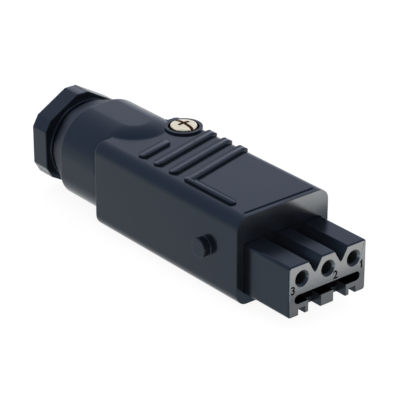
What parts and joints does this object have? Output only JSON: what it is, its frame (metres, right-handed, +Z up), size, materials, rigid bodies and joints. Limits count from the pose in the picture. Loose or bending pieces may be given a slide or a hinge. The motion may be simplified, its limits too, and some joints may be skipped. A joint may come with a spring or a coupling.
{
  "type": "industrial cable connector",
  "caption": "Box shaped black cable connector with a rectangular contact nose, side locking studs, grip ribs and a six sided gland nut at the rear.",
  "frame": {"origin": "middle of the nose's flat front face", "axes": "+X the way the mating connector leaves, +Z up, the cable leaves along -X"},
  "size_m": [0.0993, 0.032, 0.0258],
  "materials": {
    "housing_plastic": "moulded satin",
    "insert_plastic": "moulded satin",
    "nut_plastic": "moulded satin",
    "washer_plastic": "moulded",
    "contact_brass": "turned",
    "screw_brass": "plated",
    "clamp_steel": "plated",
    "seal_rubber": "moulded"
  },
  "bodies": {
    "connector": {"housing": "housing_plastic", "contact_insert": "insert_plastic", "earth_contact": "contact_brass", "earth_terminal": "contact_brass", "terminal_screw_earth": "clamp_steel", "insert_screw": "screw_brass", "gland_seal": "seal_rubber", "socket_contact_1": "contact_brass", "terminal_screw_1": "clamp_steel", "socket_contact_2": "contact_brass", "terminal_screw_2": "clamp_steel", "socket_contact_3": "contact_brass", "terminal_screw_3": "clamp_steel"},
    "gland_washer": {"thrust_ring": "washer_plastic"},
    "gland_nut": {"gland_nut": "nut_plastic"}
  },
  "joints": [
    {"name": "gland_travel", "type": "slide", "parent": "connector", "child": "gland_washer", "axis": [-1, 0, 0], "range_m": [0, 0.003]},
    {"name": "gland_turn", "type": "hinge", "parent": "gland_washer", "child": "gland_nut", "pos_m": [-0.0964, 0, 0.00225], "axis": [-1, 0, 0], "range_deg": [0, 720]}
  ],
  "couplings": [
    {"joint": "gland_travel", "follows": "gland_turn", "m_per_rad": 0.0002387}
  ]
}
